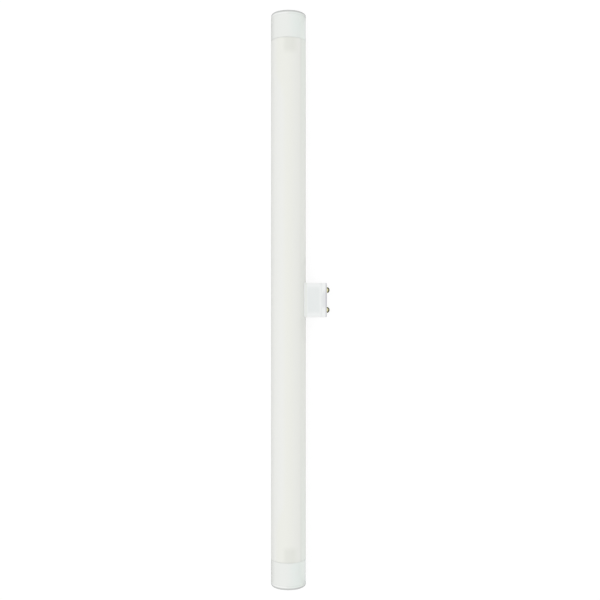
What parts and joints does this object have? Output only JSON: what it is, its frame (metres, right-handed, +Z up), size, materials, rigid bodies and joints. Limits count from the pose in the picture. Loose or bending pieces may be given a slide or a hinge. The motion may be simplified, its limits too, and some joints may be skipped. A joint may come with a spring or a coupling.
{
  "type": "tubular light bulb",
  "caption": "Straight opal tube lamp with flush end caps and a side foot at mid-length that carries domed brass contact studs.",
  "frame": {"origin": "on the surface that the lamp rests on, under the middle of its bounding box", "axes": "+Y along the tube, +X to the side that the foot points to, +Z up; the foot leans down by 15.21 degrees until its lower outer edge rests"},
  "size_m": [0.05, 0.5, 0.0305],
  "materials": {
    "opal_diffuser": "satin",
    "cap_plastic": "satin",
    "foot_plastic": "satin",
    "stud_brass": "polished",
    "tag_brass": "satin",
    "tray_aluminium": "satin",
    "white_board": "satin",
    "chip_body": "satin",
    "driver_laminate": "satin",
    "capacitor_can": "gloss",
    "ferrite": "matte",
    "copper_winding": "gloss",
    "film_case": "satin",
    "resistor_body": "satin",
    "package_black": "matte",
    "lead_white": "satin",
    "lead_red": "satin",
    "lead_black": "satin"
  },
  "bodies": {
    "root": {"diffuser_tube": "opal_diffuser", "end_cap_upper": "cap_plastic", "end_cap_lower": "cap_plastic", "heat_sink_tray": "tray_aluminium", "led_board": "white_board", "led_chips": "chip_body", "foot_housing": "foot_plastic", "foot_end_cover": "foot_plastic", "contact_stud_upper": "stud_brass", "contact_stud_lower": "stud_brass", "stud_tag_upper": "tag_brass", "stud_tag_lower": "tag_brass", "driver_board": "driver_laminate", "smoothing_capacitor": "capacitor_can", "choke_core": "ferrite", "choke_winding": "copper_winding", "film_capacitor": "film_case", "fuse_resistor": "resistor_body", "bridge_rectifier": "package_black", "driver_chip": "package_black", "input_lead_upper": "lead_white", "input_lead_lower": "lead_white", "output_lead_plus": "lead_red", "output_lead_minus": "lead_black"}
  },
  "joints": []
}
